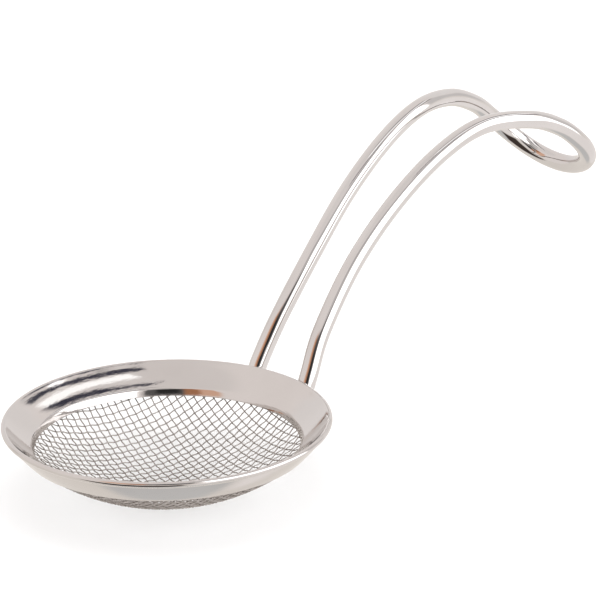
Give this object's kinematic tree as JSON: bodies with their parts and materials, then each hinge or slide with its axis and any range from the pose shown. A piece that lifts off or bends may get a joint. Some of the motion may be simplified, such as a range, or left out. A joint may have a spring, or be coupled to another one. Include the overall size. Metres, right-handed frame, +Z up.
{
  "type": "tea strainer",
  "caption": "Round wire-mesh tea strainer with a sloping steel rim and a bent rod handle that ends in a closed hook.",
  "frame": {"origin": "the flat spot at the bottom of the wire bowl, under the rim's centre", "axes": "+Z up out of the bowl, +X from the bowl to the handle's hook, +Y to the left leg's side"},
  "size_m": [0.1668, 0.07, 0.0598],
  "materials": {
    "rim_steel": "polished stainless steel, softly reflecting",
    "mesh_steel": "drawn stainless wire, satin",
    "handle_steel": "mirror-polished stainless steel rod",
    "weld_steel": "as welded, cleaned"
  },
  "bodies": {
    "root": {"rim_flange": "rim_steel", "mesh_warp": "mesh_steel", "mesh_weft": "mesh_steel", "handle_rod": "handle_steel", "weld_left": "weld_steel", "weld_right": "weld_steel"}
  },
  "joints": []
}
